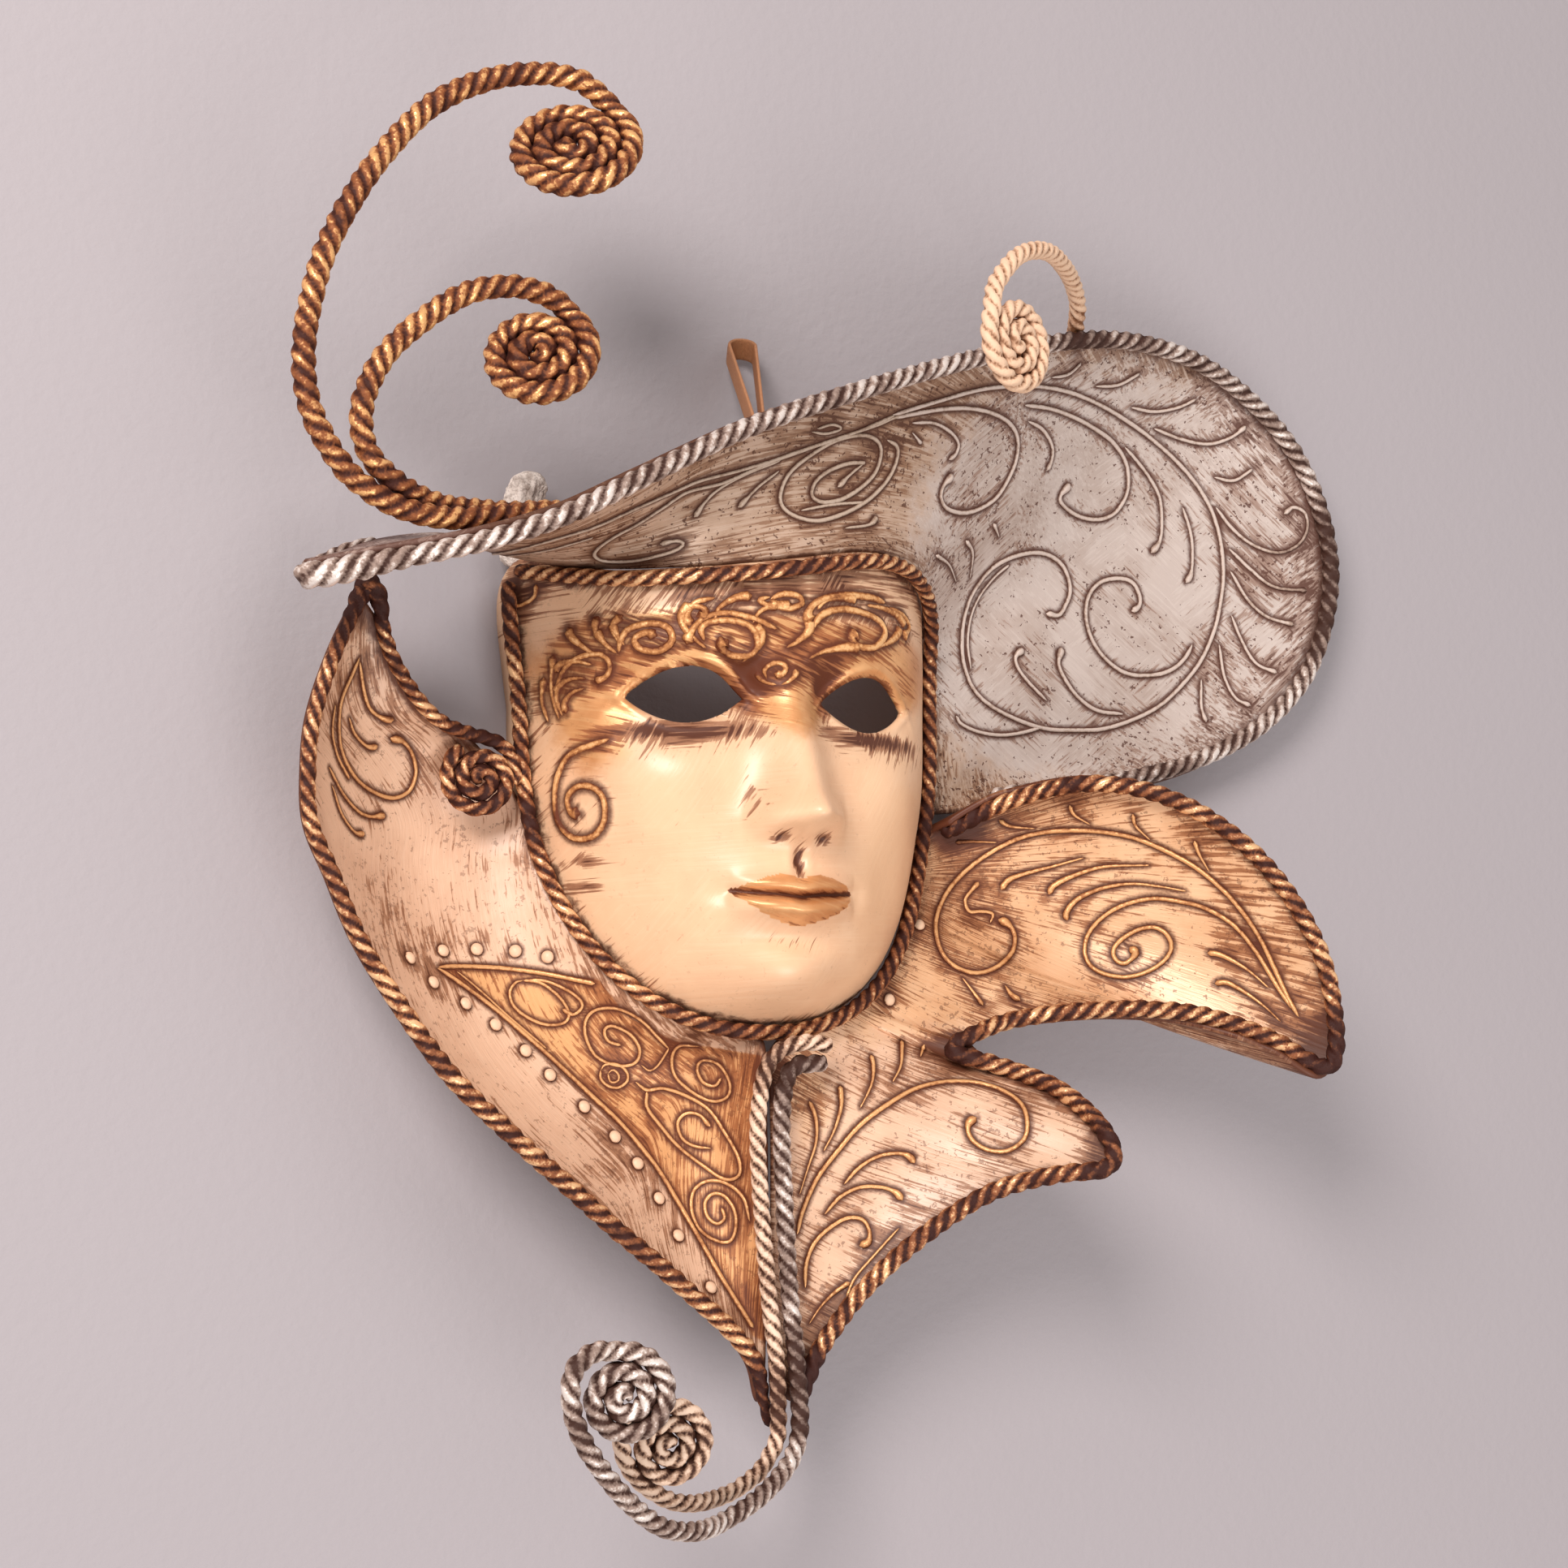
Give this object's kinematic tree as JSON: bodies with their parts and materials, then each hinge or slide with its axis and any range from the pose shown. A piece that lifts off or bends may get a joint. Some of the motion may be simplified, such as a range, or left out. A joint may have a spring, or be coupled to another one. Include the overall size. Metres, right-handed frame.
{
  "type": "venetian mask",
  "caption": "Papier-mache carnival mask with open eyes, a swept silvered hat, a winged ivory collar, twisted rope trims and free rope curls, lying on its back.",
  "frame": {"origin": "centre of the bounding box in X and Y, on the surface the mask lies on", "axes": "+X to the right across the face as it is looked at, +Y from the chin to the hat, +Z out of the face"},
  "size_m": [0.4282, 0.4598, 0.121],
  "materials": {
    "ivory_papier_mache": "ivory paint with gilding, aged with brown wax under a warm varnish",
    "silver_papier_mache": "silver leaf rubbed with brown wax, satin",
    "copper_rope": "stiffened twisted cord painted copper gold, dark in the grooves",
    "silver_rope": "stiffened twisted cord silvered and rubbed with brown wax",
    "cream_rope": "stiffened twisted cord painted cream",
    "tan_leather": "tan, worn",
    "dried_pulp": "matt whitish paper pulp"
  },
  "bodies": {
    "root": {"face_shell": "ivory_papier_mache", "collar_left": "ivory_papier_mache", "collar_right": "ivory_papier_mache", "hat": "silver_papier_mache", "face_rope": "copper_rope", "collar_left_rope": "copper_rope", "collar_right_rope": "copper_rope", "large_gold_curl": "copper_rope", "small_gold_curl": "copper_rope", "rosette": "copper_rope", "hat_rope": "silver_rope", "silver_front_rope": "silver_rope", "cream_front_rope": "cream_rope", "cream_top_curl": "cream_rope", "hanging_strap": "tan_leather", "fixing_wad": "dried_pulp"}
  },
  "joints": []
}
